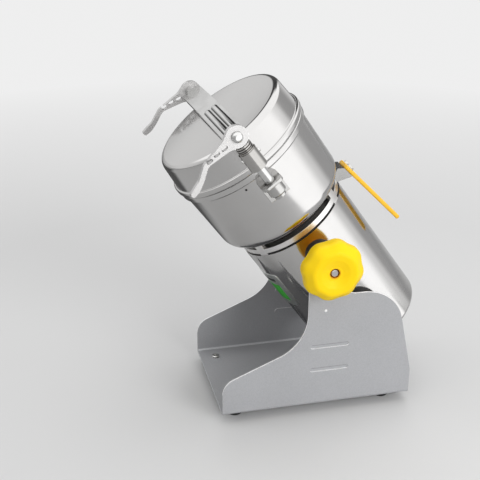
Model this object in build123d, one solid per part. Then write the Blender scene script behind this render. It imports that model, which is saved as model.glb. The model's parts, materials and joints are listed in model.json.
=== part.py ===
from build123d import *
from math import atan2, cos, pi, radians, sin, tan
import os

# Swing-type electric grain mill: a motor drum with a grinding chamber on top, hung between
# the two cheeks of a folded sheet stand. Sizes are millimetres and degrees.
# Stand frame: X along the base, Y across it (the knob is on the -Y side), Z up from the table.
# Drum frame: Z along the drum from its pivot, X towards the handle, and -Y towards the knob.

# ---- stand ----
base_length = 213.0
sheet = 2.0
bend_radius = 2.5             # inside of the folds between floor and cheeks
front_height = 38.8           # cheek height at the pouring end, before its corner is rounded
front_corner = 19.0
slope_rise = 38.8             # climb of the long front slope up to the upright
slope_fillet = 50.0           # concave sweep from the slope into the upright
upright_edge = 16.0           # front edge of the upright, measured ahead of the pivot
lug_radius = 17.0
shoulder_height = 133.0       # top of the rear shoulder above the sheet's underside
shoulder_fillet = 20.0
shoulder_round = 46.0
rear_height = 31.0            # straight part of the rear edge
rear_lean = 22.5              # how far the rear edge leans forward by the shoulder's height
rear_round = 3.0              # bend between the straight and the leaning part
rib_length = 45.0
rib_width = 6.5
rib_height = 1.2               # the ribs are pressed inwards by this much
rib_low = 44.5                # heights of the two pressed ribs above the sheet's underside
rib_high = 73.0
rib_behind = 9.5              # ribs' centre behind the pivot

foot_height = 10.0
foot_radius = 8.0
foot_inset_front = 18.0
foot_inset_rear = 24.5
foot_spacing = 100.0
foot_screw_radius = 2.0
foot_screw_head = 4.2
foot_screw_head_height = 2.4
foot_screw_grip = 6.0         # length held in the rubber
foot_round = 1.0
cross_length = 5.0            # cross recess of every screw
cross_width = 1.0
cross_depth = 0.8

# ---- pivot ----
pivot_x = 2.0
pivot_height = 174.0          # above the sheet's underside
tilt = 35.75                  # the drum leans this far towards the pouring end
axle_radius = 6.0
running = 0.06                # radial clearance of turning fits
side_gap = 0.3                # between each boss and its cheek
boss_length = 6.7             # from the drum's wall to the boss's flat face
bush_radius = 8.0
bush_flange = 13.0
bush_flange_height = 1.2
boss_radius = 19.0
boss_seat_depth = 7.0         # how far each boss wraps back round the drum
nut_width = 19.0              # across flats
nut_height = 9.0
nut_washer_radius = 12.0
nut_washer_height = 1.6
axle_past_nut = 3.0
axle_chamfer = 1.0
boss_skin = 0.5                # metal left between the drum and each axle's end
bush_proud = 0.5              # bush's sleeve past the outside of its cheek

# ---- clamping knob ----
washer_radius = 12.0
washer_height = 1.6
knob_radius = 32.5
knob_lobes = 8
knob_lobe_depth = 2.2
knob_hub_radius = 12.0
knob_hub_height = 7.5
knob_body_height = 24.0
knob_dome = 6.0
knob_flat_radius = 20.5       # where the face starts to round over
knob_back_chamfer = 5.0
knob_window = 5.3             # hole in the face through which the axle's end shows
insert_radius = 9.0
insert_length = 18.0
axle_recess = 4.0             # the axle ends this far behind the knob's face
axle_tip_radius = 3.8         # the axle's end past the insert
axle_tip_chamfer = 0.6

# ---- drum: heights are measured along the drum from the pivot ----
housing_radius = 62.0
housing_wall = 1.2
housing_top = 31.5
housing_bottom = -130.0
housing_corner = 4.0
housing_lip = 7.0
cap_height = 4.0
cap_gap = 0.15
cap_slot_width = 3.0
cap_slots = 24
cap_rim = 8.0                 # plain metal inside and outside the slots
neck_inset = 0.5              # ring inside the line of the drum's wall
neck_ring_height = 6.0
neck_ring_wall = 8.5
neck_low_gap = 2.2            # dark gaps under and over the bright ring
neck_high_gap = 6.8
tab_angle = 50.0
tab_width = 10.0
tab_depth = 4.5

# ---- grinding chamber ----
chamber_overhang = 10.4       # the chamber's foot past the drum's wall
chamber_flare = 1.8
chamber_height = 84.5
chamber_corner = 14.0
chamber_wall = 1.5
rim_lip = 2.4
rim_height = 6.0
rim_cone = 1.6                # height of the cone under the rim
chamber_hole_gap = 0.5        # round the shaft

# ---- lid ----
gasket_height = 1.0
bead_lip = 1.4                # past the chamber's rim
bead_height = 6.0
lid_step = 1.0                # foot of the lid's wall outside the chamber's wall
lid_taper = 2.6
lid_height = 36.6             # from the gasket to the flat top
lid_corner = 6.5
lid_wall = 1.5
spigot_gap = 1.0
spigot_depth = 9.0
spigot_land = 3.0             # height of the spigot's inner step above the gasket
bead_low_round = 2.6
bead_high_round = 1.8
bead_root_round = 0.6
gasket_inset = 0.6            # the gasket ends this far inside the rim

# ---- clamp: a strap over the lid, a post and a lever at each end ----
clamp_angle = 3.0             # the strap is turned this far off the pivot's direction
post_gap = 10.0               # from the lid's bead to a post's axis
strap_width = 22.0
strap_plate = 2.6
strap_flange = 9.0
strap_peak = 15.4             # strap's ridge above the lid
strap_fall = 4.4              # the strap drops this much from its ridge to each end
strap_end_block = 10.0
strap_end_width = 17.0
strap_lug_wall = 2.4          # round the pivot's bore, at each end of the strap
pad_radius = 8.0
lever_boss_radius = 11.2
lever_thickness = 5.4
lever_pivot_drop = 5.5        # lever pivot below the strap's ridge
lever_reach = 67.0
far_lever_angle = 12.0        # the far lever stands this much more open
lever_hole_radius = 2.3
pin_radius = 4.0
nut_dome_radius = 5.6
nut_dome_height = 4.2
lever_gap = 0.3               # on each side of a lever, and under its boss
sleeve_radius = 9.3
sleeve_collar_radius = 8.2
sleeve_collar_height = 6.5
sleeve_length = 29.0
sleeve_grooves = 2
sleeve_groove_step = 2.4
sleeve_groove_width = 0.7
sleeve_groove_depth = 0.6
sleeve_shoulder = 1.6         # from the collar down to the sleeve's full width
rod_radius = 5.0
bracket_top = 118.5
bracket_width = 23.0
bracket_plate = 3.0
bracket_back_height = 25.0
bracket_reach = 9.5
bracket_back = 3.0            # thickness of its back on the chamber's wall
bracket_wrap = 4.0            # how far the back wraps round the wall
bracket_corner = 5.0
cup_radius = 9.0
cup_foot_radius = 6.4
cup_height = 15.5
cup_foot_height = 3.0
cup_cone = 2.0
rod_chamfer = 0.8

# ---- carrying handle ----
grip_length = 93.0
grip_width = 22.0
grip_thickness = 4.6
grip_flare = 9.3
grip_reach = 17.6             # outer face of the grip's upper end, from the drum's wall
grip_top = 42.0
grip_round = 1.8
grip_corner = 4.0
handle_wall = 2.2
handle_step = 14.0            # bracket's length down the grip
handle_screw_radius = 2.5
handle_screw_head = 4.0
handle_screw_head_height = 2.2

# ---- fittings on the motor housing ----
plate_angle = -76.0
plate_width = 42.0
plate_height = 48.0
plate_middle = -23.0
plate_thickness = 0.6
plate_corner = 4.0
plate_gap = 0.05              # between the curved plate and the housing
switch_angle = -125.0
switch_middle = -30.0
switch_width = 24.0
switch_height = 32.0
switch_proud = 6.0
rocker_width = 13.0
rocker_height = 21.0
rocker_gap = 0.3
rocker_throw = 14.0           # angle between on and off
rocker_crest = 1.2            # its two ends stand this far past the frame
rocker_dip = 1.2              # its middle lies this far inside the frame's front
rocker_keel = 3.0             # depth of its middle inside the drum's wall line
rocker_draft = 0.7
rocker_taper = 2.2
rocker_pin_radius = 1.2
rocker_pin_reach = 0.9        # of the pin's ends into the well's walls
switch_corner = 2.0
switch_wall = 2.0             # of the well that the rocker sits in
switch_well = 7.0             # depth of that well inside the drum's wall line
reset_middle = -68.0
reset_collar_radius = 9.0
reset_collar_proud = 3.0
reset_radius = 4.5
reset_proud = 3.5
reset_depth = 8.0
reset_wall = 1.0
reset_round = 1.2
reset_short = 2.0             # the button's inner end stops this far inside its sleeve
gland_angle = 130.0
gland_middle = -113.5
gland_radius = 7.0
gland_flange = 10.0
gland_length = 12.0
gland_bore = 3.2
gland_flange_height = 4.0
gland_tail = 6.0              # its thread inside the drum's wall line
gland_round = 1.5

# ---- motor ----
shaft_radius = 6.0
bearing_radius = 14.0
bearing_height = 9.0
bell_height = 12.0
bell_gap = 0.1
bell_windows = 6
bell_window_radius = 9.0
lower_bell_top = -92.0
stator_top = -6.0
stator_bottom = -60.0
stator_depth = 23.0           # from the stator's edge in to its bore
stator_clear = 5.0            # between the switch's well and the stator
ear_width = 14.0             # four ears carry the stator in the housing
air_gap = 0.8
coil_height = 9.0
coil_step = 6.0               # coils inside the edge of the stator
slot_radius = 5.0
stator_slots = 8
coil_gap = 2.0                # coils clear of the stator's bore
commutator_radius = 13.0
commutator_top = -72.0
commutator_bottom = -88.0
armature_neck = 10.0
fan_clear = 9.0               # between the fan and the bottom opening's edge
fan_height = 9.0
fan_hub = 11.0
fan_plate = 1.6
fan_blades = 9
fan_rise = 3.0                # fan above the bottom cap

# ---- blades in the chamber ----
blade_clear = 12.4            # from the blades' reach to the chamber's foot
blade_width = 18.0
blade_thickness = 3.0
blade_low = 8.0               # first blade above the chamber's floor
blade_step = 14.0
blade_nut_radius = 11.0
blade_nut_height = 9.0
blade_bend = 10.0             # length of each bent end
blade_low_lift = 25.0
blade_high_lift = 40.0
spacer_wall = 4.0
shaft_collar = 3.0
shaft_collar_height = 5.0
shaft_past = 2.0              # past the blade nut, and past the fan's hub
vane_inset = 1.0              # the fan's vanes stop this far inside its edges

# ---- places worked out from the sizes above ----
table_to_sheet = foot_height
pivot_z = table_to_sheet + pivot_height
half_length = base_length / 2
half_width = housing_radius + boss_length + side_gap + sheet   # outside of a cheek
base_width = 2 * half_width
neck_ring_radius = housing_radius - neck_inset
neck_core_radius = neck_ring_radius - neck_ring_wall
chamber_foot_radius = housing_radius + chamber_overhang
chamber_top_radius = chamber_foot_radius + chamber_flare
rim_radius = chamber_top_radius + rim_lip
bead_radius = rim_radius + bead_lip
lid_foot_radius = chamber_top_radius + lid_step
lid_top_radius = lid_foot_radius - lid_taper
post_offset = bead_radius + post_gap
grip_radius = housing_radius + grip_reach
stator_radius = housing_radius - switch_well - stator_clear
coil_radius = stator_radius - coil_step
stator_bore = stator_radius - stator_depth
lip_bore = housing_radius - housing_lip
fan_radius = lip_bore - fan_clear
blade_reach = chamber_foot_radius - blade_clear
ring_low = housing_top + neck_low_gap
ring_top = ring_low + neck_ring_height
chamber_floor = ring_top + neck_high_gap
chamber_rim = chamber_floor + chamber_height
lid_seat = chamber_rim + gasket_height
lid_top = lid_seat + lid_height
strap_ridge = lid_top + strap_peak
strap_end_top = strap_ridge - strap_fall
lever_height = strap_ridge - lever_pivot_drop
strap_end = post_offset + 2.0
sleeve_top = lever_height - lever_boss_radius - lever_gap - 0.1
sleeve_bottom = sleeve_top - sleeve_length
housing_bore = housing_radius - housing_wall
cap_bottom = housing_bottom + housing_wall
drum_place = Pos(pivot_x, 0, pivot_z) * Rot(0, -tilt, 0)
clamp_place = drum_place * Rot(0, 0, clamp_angle)

pieces = {}


def turned(corners, rounding=None):
    # A solid turned about Z from (radius, height) corners, each rounded by its own radius.
    points = [(radius, 0, height) for radius, height in corners]
    if rounding is None:
        outline = Polyline(*points, close=True)
    else:
        outline = FilletPolyline(*points, radius=rounding, close=True)
    return revolve(make_face(outline), Axis.Z)


def disc(radius, low, high, bore=0.0):
    # A round plate or tube about Z between two heights.
    body = Pos(0, 0, (low + high) / 2) * Cylinder(radius, high - low)
    if bore > 0:
        body -= Pos(0, 0, (low + high) / 2) * Cylinder(bore, high - low + 2)
    return body


def across(radius, low, high, bore=0.0):
    # The same, about Y.
    return Rot(-90, 0, 0) * disc(radius, low, high, bore)


def plate(corners, rounding, near, far):
    # A flat plate from (x, z) corners, between two places along Y.
    points = [(x, near, z) for x, z in corners]
    outline = FilletPolyline(*points, radius=rounding, close=True)
    return extrude(make_face(outline), far - near, dir=(0, 1, 0))


def on_wall(angle, radius, height):
    # A place on the drum's wall, where -Y points straight out and Z runs along the drum.
    return Rot(0, 0, angle) * Pos(0, -radius, height)


def hex_prism(width, low, high):
    # A hexagon about Z, by its width across flats.
    return Pos(0, 0, low) * extrude(RegularPolygon(width / 2, 6, major_radius=False), high - low)


def cross_recess():
    # The cut in a screw's head, about the middle of its top.
    bar = Box(cross_width, cross_length, 2 * cross_depth)
    return bar + Rot(0, 0, 90) * bar


# ---- stand frame ----
def cheek_outline():
    slope = atan2(slope_rise, half_length + pivot_x - upright_edge)
    upright = pivot_x - upright_edge
    rear = pivot_x + lug_radius
    foot = table_to_sheet
    return [
        (-half_length, foot), (-half_length, foot + front_height),
        (upright, foot + front_height + (upright + half_length) * tan(slope)),
        (upright, pivot_z), (rear, pivot_z), (rear, foot + shoulder_height),
        (half_length - rear_lean, foot + shoulder_height),
        (half_length, foot + rear_height), (half_length, foot),
    ]


def stand_frame():
    height = pivot_height + lug_radius
    outer = Pos(0, 0, table_to_sheet + height / 2) * Box(base_length, base_width, height)
    outer = fillet(outer.edges().filter_by(Axis.X).group_by(Axis.Z)[0], bend_radius + sheet)
    inner = Pos(0, 0, table_to_sheet + sheet + height / 2) * Box(
        base_length + 2, base_width - 2 * sheet, height)
    inner = fillet(inner.edges().filter_by(Axis.X).group_by(Axis.Z)[0], bend_radius)
    rounding = [0, front_corner, slope_fillet, 0, 0, shoulder_fillet, shoulder_round, rear_round, 0]
    side = plate(cheek_outline(), rounding, -half_width - 1, half_width + 1)
    lug = Pos(pivot_x, 0, pivot_z) * across(lug_radius, -half_width - 1, half_width + 1)
    body = (outer - inner) & (side + lug)
    for direction in (-1, 1):
        for height in (rib_low, rib_high):
            middle = Pos(pivot_x + rib_behind, direction * half_width, table_to_sheet + height)
            bar = extrude(Plane.XZ * SlotOverall(rib_length, rib_width), rib_height, both=True)
            dent = extrude(
                Plane.XZ * SlotOverall(rib_length - 2, rib_width - 2), rib_height, both=True)
            body += Pos(0, -direction * sheet, 0) * middle * bar
            body -= middle * dent
    body -= Pos(pivot_x, 0, pivot_z) * across(bush_radius, -half_width - 2, half_width + 2)
    for place in foot_places():
        body -= place * Cylinder(foot_screw_radius, 20)
    return body


def foot_places():
    front = -half_length + foot_inset_front
    rear = half_length - foot_inset_rear
    side = foot_spacing / 2
    return [Pos(x, y, table_to_sheet) for x in (front, rear) for y in (-side, side)]


pieces["stand_frame"] = stand_frame()
for number, place in enumerate(foot_places(), 1):
    rubber = disc(foot_radius, -foot_height, 0)
    rubber = fillet(rubber.edges().group_by(Axis.Z)[0], foot_round)
    rubber -= disc(foot_screw_radius, sheet - foot_screw_grip, 1)
    screw = disc(foot_screw_radius, sheet - foot_screw_grip, sheet)
    head = disc(foot_screw_head, sheet, sheet + foot_screw_head_height)
    head = fillet(head.edges().group_by(Axis.Z)[-1], foot_screw_head_height / 2)
    head -= Pos(0, 0, sheet + foot_screw_head_height) * cross_recess()
    pieces[f"foot_{number}"] = place * rubber
    pieces[f"foot_screw_{number}"] = place * (screw + head)

# ---- pivot bushes, bosses and axles ----
for side, name in ((-1, "near"), (1, "far")):
    bush = across(bush_radius, half_width - sheet, half_width + bush_proud, axle_radius + running)
    bush += across(bush_flange, half_width, half_width + bush_flange_height, axle_radius + running)
    boss = across(boss_radius, housing_radius - boss_seat_depth, housing_radius + boss_length,
                  axle_radius)
    boss -= disc(housing_radius, -boss_radius - 5, boss_radius + 5)
    turn = Rot(0, 0, 180) if side < 0 else Rot(0, 0, 0)
    pieces[f"pivot_bush_{name}"] = Pos(pivot_x, 0, pivot_z) * turn * bush
    pieces[f"pivot_boss_{name}"] = drum_place * turn * boss

bush_face = half_width + bush_flange_height
knob_back = bush_face + washer_height
knob_face = knob_back + knob_hub_height + knob_body_height
axle_start = housing_radius + boss_skin
axle_end = knob_face - axle_recess
axle = across(axle_tip_radius, axle_start, axle_end)
axle = chamfer(axle.edges().group_by(Axis.Y)[-1], axle_tip_chamfer)
axle += across(axle_radius, axle_start, knob_back + insert_length)
pieces["clamp_axle"] = drum_place * Rot(0, 0, 180) * axle

nut_start = bush_face + nut_washer_height
nut_end = nut_start + nut_height
far_axle = across(axle_radius, axle_start, nut_end + axle_past_nut)
far_axle = chamfer(far_axle.edges().group_by(Axis.Y)[-1], axle_chamfer)
pieces["pivot_axle"] = drum_place * far_axle
nut = Rot(-90, 0, 0) * hex_prism(nut_width, nut_start, nut_end)
nut += across(nut_washer_radius, bush_face + 0.1, nut_start)
nut -= across(axle_radius, bush_face - 1, nut_end + 1)
pieces["lock_nut"] = drum_place * nut


# ---- clamping knob ----
def star_knob():
    points = []
    steps = knob_lobes * 6
    middle = knob_radius - knob_lobe_depth / 2
    for step in range(steps):
        angle = 2 * pi * step / steps
        reach = middle + knob_lobe_depth / 2 * cos(knob_lobes * angle)
        points.append((reach * cos(angle), reach * sin(angle)))
    star = extrude(make_face(Spline(*points, periodic=True)), knob_body_height, dir=(0, 0, 1))
    face = knob_hub_height + knob_body_height
    rim = knob_radius + 1
    dome = turned(
        [(0, 0), (knob_radius - knob_back_chamfer, 0), (rim, knob_back_chamfer),
         (rim, knob_body_height - knob_dome), (knob_flat_radius, knob_body_height),
         (0, knob_body_height)],
        [0, 3, 4, 9, 20, 0])
    outside = disc(rim + 1, 0, knob_body_height) - dome
    body = Pos(0, 0, knob_hub_height) * (star - outside)
    body += disc(knob_hub_radius, 0, knob_hub_height + 1)
    body -= disc(insert_radius, -1, insert_length)
    body -= disc(knob_window, insert_length - 1, face + 1)
    return body


knob_place = drum_place * Pos(0, -knob_back, 0) * Rot(90, 0, 0)
pieces["lock_knob"] = knob_place * star_knob()
pieces["knob_insert"] = knob_place * disc(insert_radius, 0, insert_length, axle_radius + running)
pieces["knob_washer"] = drum_place * Rot(0, 0, 180) * across(
    washer_radius, bush_face, knob_back, axle_radius + running)

# ---- motor housing and its bottom cap ----
well_width = rocker_width + 2 * switch_wall
well_height = rocker_height + 2 * switch_wall
pieces["motor_housing"] = turned(
    [(housing_radius, housing_top), (housing_radius, housing_bottom), (lip_bore, housing_bottom),
     (lip_bore, cap_bottom), (housing_bore, cap_bottom), (housing_bore, housing_top)],
    [0, housing_corner, 0, 0, housing_corner - housing_wall, 0])
for angle, height, radius in ((gland_angle, gland_middle, gland_radius),
                              (switch_angle, reset_middle, reset_radius + reset_wall)):
    pieces["motor_housing"] -= on_wall(angle, housing_radius, height) * across(radius, -6, 6)
pieces["motor_housing"] -= on_wall(switch_angle, housing_radius, switch_middle) * Box(
    well_width, 2 * switch_well, well_height)
pieces["motor_housing"] = drum_place * pieces["motor_housing"]

cap_radius = housing_bore - housing_corner + housing_wall - cap_gap
cap = disc(cap_radius, cap_bottom, cap_bottom + cap_height)
for number in range(cap_slots):
    slot = Pos((lip_bore + fan_hub) / 2, 0, cap_bottom + cap_height / 2) * Box(
        lip_bore - fan_hub - 2 * cap_rim, cap_slot_width, cap_height + 2)
    cap -= Rot(0, 0, number * 360 / cap_slots) * slot
pieces["housing_cap"] = drum_place * cap

# ---- neck between the motor and the chamber ----
ring = disc(neck_ring_radius, ring_low, ring_top, neck_core_radius)
for angle in (tab_angle, 180 - tab_angle, 180 + tab_angle, -tab_angle):
    ring += on_wall(angle, neck_ring_radius - tab_depth / 2, (housing_top + chamber_floor) / 2) * Box(
        tab_width, tab_depth, chamber_floor - housing_top)
ring -= disc(neck_ring_radius + 5, housing_top - 1, chamber_floor + 1, neck_ring_radius)
pieces["neck_ring"] = drum_place * ring
pieces["neck_core"] = drum_place * disc(neck_core_radius, housing_top, chamber_floor, shaft_radius + 1)


# ---- grinding chamber ----
def chamber():
    outer = [(shaft_radius + chamber_hole_gap, chamber_floor), (chamber_foot_radius, chamber_floor),
             (chamber_top_radius, chamber_rim - rim_height - rim_cone),
             (rim_radius, chamber_rim - rim_height), (rim_radius, chamber_rim)]
    inner = [(chamber_top_radius - chamber_wall, chamber_rim),
             (chamber_foot_radius - chamber_wall, chamber_floor + chamber_wall),
             (shaft_radius + chamber_hole_gap, chamber_floor + chamber_wall)]
    rounding = [0, chamber_corner, 0, 0.8, 1.2, 0, chamber_corner - chamber_wall, 0]
    return turned(outer + inner, rounding)


pieces["grinding_chamber"] = drum_place * chamber()


def wall_radius(height):
    # Outside radius of the chamber's wall at a height on the drum.
    share = (height - chamber_floor) / (chamber_height - rim_height - rim_cone)
    return chamber_foot_radius + (chamber_top_radius - chamber_foot_radius) * share


# ---- lid ----
def lid_shell():
    spigot = chamber_top_radius - chamber_wall - spigot_gap
    low = lid_seat - spigot_depth
    outer = [(spigot - lid_wall, low), (spigot, low), (spigot, lid_seat),
             (bead_radius, lid_seat), (bead_radius, lid_seat + bead_height),
             (lid_foot_radius, lid_seat + bead_height), (lid_top_radius, lid_top), (0, lid_top)]
    inner = [(0, lid_top - lid_wall), (lid_top_radius - lid_wall, lid_top - lid_wall),
             (lid_foot_radius - lid_wall, lid_seat + bead_height - 1),
             (spigot - lid_wall, lid_seat + spigot_land)]
    rounding = [0, 0, 0, bead_low_round, bead_high_round, bead_root_round, lid_corner,
                0, 0, lid_corner - lid_wall, 0, 0]
    return turned(outer + inner, rounding)


pieces["lid_shell"] = drum_place * lid_shell()
pieces["lid_gasket"] = drum_place * disc(
    rim_radius - gasket_inset, chamber_rim, lid_seat, chamber_top_radius - chamber_wall - spigot_gap + 0.1)


# ---- clamp strap, with a lever pivot at each end ----
def strap():
    fall = strap_fall / strap_end
    low_end = strap_end_top - strap_flange
    low_middle = strap_ridge - strap_flange
    side = plate_along(
        [(-strap_end, low_end), (0, low_middle), (strap_end, low_end), (strap_end, strap_end_top),
         (0, strap_ridge), (-strap_end, strap_end_top)], strap_width)
    channel_end = strap_end - strap_end_block
    hollow = plate_along(
        [(-channel_end, low_end - 5), (channel_end, low_end - 5),
         (channel_end, strap_end_top + fall * strap_end_block - strap_plate),
         (0, strap_ridge - strap_plate),
         (-channel_end, strap_end_top + fall * strap_end_block - strap_plate)],
        strap_width - 2 * strap_plate)
    body = side - hollow
    for end in (-1, 1):
        block = Box(strap_end_width, strap_end_block, strap_end_top - 1 - sleeve_top)
        body += Pos(0, end * (strap_end - strap_end_block / 2),
                    (strap_end_top - 1 + sleeve_top) / 2) * block
        inner, outer = sorted((end * (strap_end - strap_end_block), end * strap_end))
        body += Pos(0, 0, lever_height) * across(pin_radius + strap_lug_wall, inner, outer)
        body -= Pos(0, 0, lever_height) * across(pin_radius, inner, outer)
    return body


def plate_along(corners, width):
    # A plate from (y, z) corners, centred on X.
    outline = Polyline(*[(-width / 2, y, z) for y, z in corners], close=True)
    return extrude(make_face(outline), width, dir=(1, 0, 0))


pieces["clamp_strap"] = clamp_place * strap()
pad_top = strap_ridge - strap_plate - strap_fall * pad_radius / strap_end
pieces["strap_pad"] = clamp_place * disc(pad_radius, lid_top, pad_top)


# ---- levers ----
def lever():
    # Drawn in (x, z) with the pivot at the origin and the arm towards -X.
    bend = 0.6 * lever_reach
    upper = [(-0.625 * lever_boss_radius, 0.768 * lever_boss_radius), (-14.0, 4.6), (-bend, -1.6),
             (-0.8 * lever_reach, -11.4), (-0.9 * lever_reach, -13.6), (-lever_reach - 1.0, -17.0)]
    lower = [(-lever_reach + 0.6, -21.4), (-0.87 * lever_reach, -19.6), (-0.75 * lever_reach, -15.0),
             (-bend + 2.6, -5.6), (-14.0, -6.8),
             (-0.625 * lever_boss_radius, -0.768 * lever_boss_radius), (0.0, 0.0)]
    rounding = [0, 12, 9, 9, 14, 2.2, 2.2, 14, 9, 9, 10, 0, 0]
    body = plate(upper + lower, rounding, 0, lever_thickness)
    body += across(lever_boss_radius, 0, lever_thickness)
    body -= across(pin_radius + running, -1, lever_thickness + 1)
    for share, height in ((0.235, -1.4), (0.37, -1.2), (0.505, -2.2)):
        hole = Pos(-share * lever_reach, lever_thickness / 2, height) * Rot(90, 0, 0) * extrude(
            SlotOverall(3.0 * lever_hole_radius, 1.7 * lever_hole_radius), lever_thickness, both=True)
        body -= hole
    return body


for side, name in ((-1, "near"), (1, "far")):
    face = strap_end + lever_gap
    arm = lever()
    if side > 0:
        arm = Rot(0, far_lever_angle, 0) * arm
        arm = Pos(0, face, lever_height) * arm
    else:
        arm = Pos(0, -face - lever_thickness, lever_height) * arm
    pieces[f"lever_{name}"] = clamp_place * arm

    end = face + lever_thickness + lever_gap
    pin = across(pin_radius, strap_end - strap_end_block, end)
    dome = turned(
        [(0, 0), (nut_dome_radius, 0), (nut_dome_radius, nut_dome_height), (0, nut_dome_height)],
        [0, 0, 0.8 * nut_dome_height, 0])
    pin += Pos(0, end, 0) * Rot(-90, 0, 0) * dome
    turn = Rot(0, 0, 180) if side < 0 else Rot(0, 0, 0)
    pieces[f"lever_pin_{name}"] = clamp_place * Pos(0, 0, lever_height) * turn * pin


# ---- clamp posts: a sleeve from the strap slides over a rod on the chamber's bracket ----
def sleeve():
    collar_low = sleeve_top - sleeve_collar_height
    body = disc(sleeve_collar_radius, sleeve_bottom, sleeve_top)
    body += disc(sleeve_radius, sleeve_bottom, collar_low - sleeve_shoulder)
    for number in range(sleeve_grooves):
        groove = collar_low + sleeve_shoulder + number * sleeve_groove_step
        body -= disc(sleeve_collar_radius + 1, groove, groove + sleeve_groove_width,
                     sleeve_collar_radius - sleeve_groove_depth)
    return body - disc(rod_radius + running, sleeve_bottom - 1, sleeve_top - strap_plate)


def rod():
    foot = bracket_top - bracket_plate - cup_height
    body = disc(rod_radius, foot + 1.0, sleeve_top - strap_plate - 1.0)
    return chamfer(body.edges().group_by(Axis.Z)[-1], rod_chamfer)


def bracket():
    # Drawn with the chamber's axis at the origin and the post on +Y.
    radius = wall_radius(bracket_top)
    reach = post_offset + bracket_reach
    flange = Pos(0, (radius - bracket_wrap + reach) / 2, bracket_top - bracket_plate / 2) * Box(
        bracket_width, reach - radius + bracket_wrap, bracket_plate)
    flange = fillet(flange.edges().filter_by(Axis.Z).group_by(Axis.Y)[-1], bracket_corner)
    back = Pos(0, radius + (bracket_back - bracket_wrap) / 2, bracket_top - bracket_back_height / 2)
    back *= Box(bracket_width, bracket_back + bracket_wrap, bracket_back_height)
    body = flange + back
    shell = turned([(0, chamber_floor), (wall_radius(chamber_floor), chamber_floor),
                    (wall_radius(bracket_top + 2), bracket_top + 2), (0, bracket_top + 2)])
    body -= shell
    foot = bracket_top - bracket_plate - cup_height
    cup = turned([(0, foot), (cup_foot_radius, foot), (cup_foot_radius, foot + cup_foot_height),
                  (cup_radius, foot + cup_foot_height + cup_cone), (cup_radius, bracket_top - bracket_plate),
                  (0, bracket_top - bracket_plate)])
    body += Pos(0, post_offset, 0) * cup
    body -= Pos(0, post_offset, 0) * rod()
    return body


for turn, name in ((Rot(0, 0, 180), "near"), (Rot(0, 0, 0), "far")):
    post = clamp_place * turn * Pos(0, post_offset, 0)
    pieces[f"clamp_sleeve_{name}"] = post * sleeve()
    pieces[f"clamp_rod_{name}"] = post * rod()
    pieces[f"clamp_bracket_{name}"] = clamp_place * turn * bracket()


# ---- carrying handle ----
grip_place = Pos(grip_radius, 0, grip_top) * Rot(0, -grip_flare, 0)


def grip_point(depth, down):
    # Radius and height of a point in the grip's own frame, below its outer top corner.
    lean = radians(grip_flare)
    radius = grip_radius - depth * cos(lean) + down * sin(lean)
    height = grip_top - depth * sin(lean) - down * cos(lean)
    return (radius, height)


def screw_places():
    down = handle_step / 2
    return [grip_place * Pos(0, side * grip_width / 4, -down) * Rot(0, 90, 0) for side in (-1, 1)]


grip = Pos(-grip_thickness / 2, 0, -grip_length / 2) * Box(grip_thickness, grip_width, grip_length)
grip = fillet(grip.edges().filter_by(Axis.X), grip_corner)
grip = fillet(grip.edges().group_by(Axis.X)[-1], grip_round)
grip = fillet(grip.edges().group_by(Axis.X)[0], grip_round)
grip = grip_place * grip
ring_side = neck_ring_radius - 2
outer_top = grip_point(grip_thickness, 0.0)
outer_low = grip_point(grip_thickness, handle_step)
bracket_high = chamber_floor - 0.6
gusset = [(ring_side, ring_low), (ring_side, ring_top - 0.6),
          (outer_top[0] - 6.0, bracket_high), outer_top, outer_low]
holder = plate(gusset, [0, 0, 1.5, 1.0, 1.0], -grip_width / 2, grip_width / 2)
holder -= plate(
    [(neck_ring_radius + handle_wall, ring_low - 8), (neck_ring_radius + handle_wall, ring_top - 3.0),
     (outer_top[0] - 6.6, bracket_high - handle_wall),
     (outer_top[0] - handle_wall, outer_top[1] - handle_wall),
     (outer_low[0] - handle_wall, outer_low[1] - 6)],
    [0, 0, 0, 0, 0], -grip_width / 2 + handle_wall, grip_width / 2 - handle_wall)
holder -= disc(neck_ring_radius, ring_low - 2, ring_top)
for number, place in enumerate(screw_places(), 1):
    shank = disc(handle_screw_radius, -grip_thickness - handle_wall, 0)
    head = disc(handle_screw_head, 0, handle_screw_head_height)
    head = fillet(head.edges().group_by(Axis.Z)[-1], 1.0)
    head -= Pos(0, 0, handle_screw_head_height) * cross_recess()
    grip -= place * disc(handle_screw_radius, -30, 5)
    holder -= place * disc(handle_screw_radius, -grip_thickness - handle_wall - 1, 5)
    pieces[f"handle_screw_{number}"] = drum_place * place * (shank + head)
pieces["handle_grip"] = drum_place * grip
pieces["handle_bracket"] = drum_place * holder

# ---- nameplate, switch, reset button and cable gland ----
skin_bore = housing_radius + plate_gap
skin = disc(skin_bore + plate_thickness, -200, 200, skin_bore)
outline = extrude(
    Plane.XZ * RectangleRounded(plate_width, plate_height, plate_corner), housing_radius / 2, both=True)
plate_place = on_wall(plate_angle, housing_radius, plate_middle)
pieces["nameplate"] = drum_place * (skin & (plate_place * outline))

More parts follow.
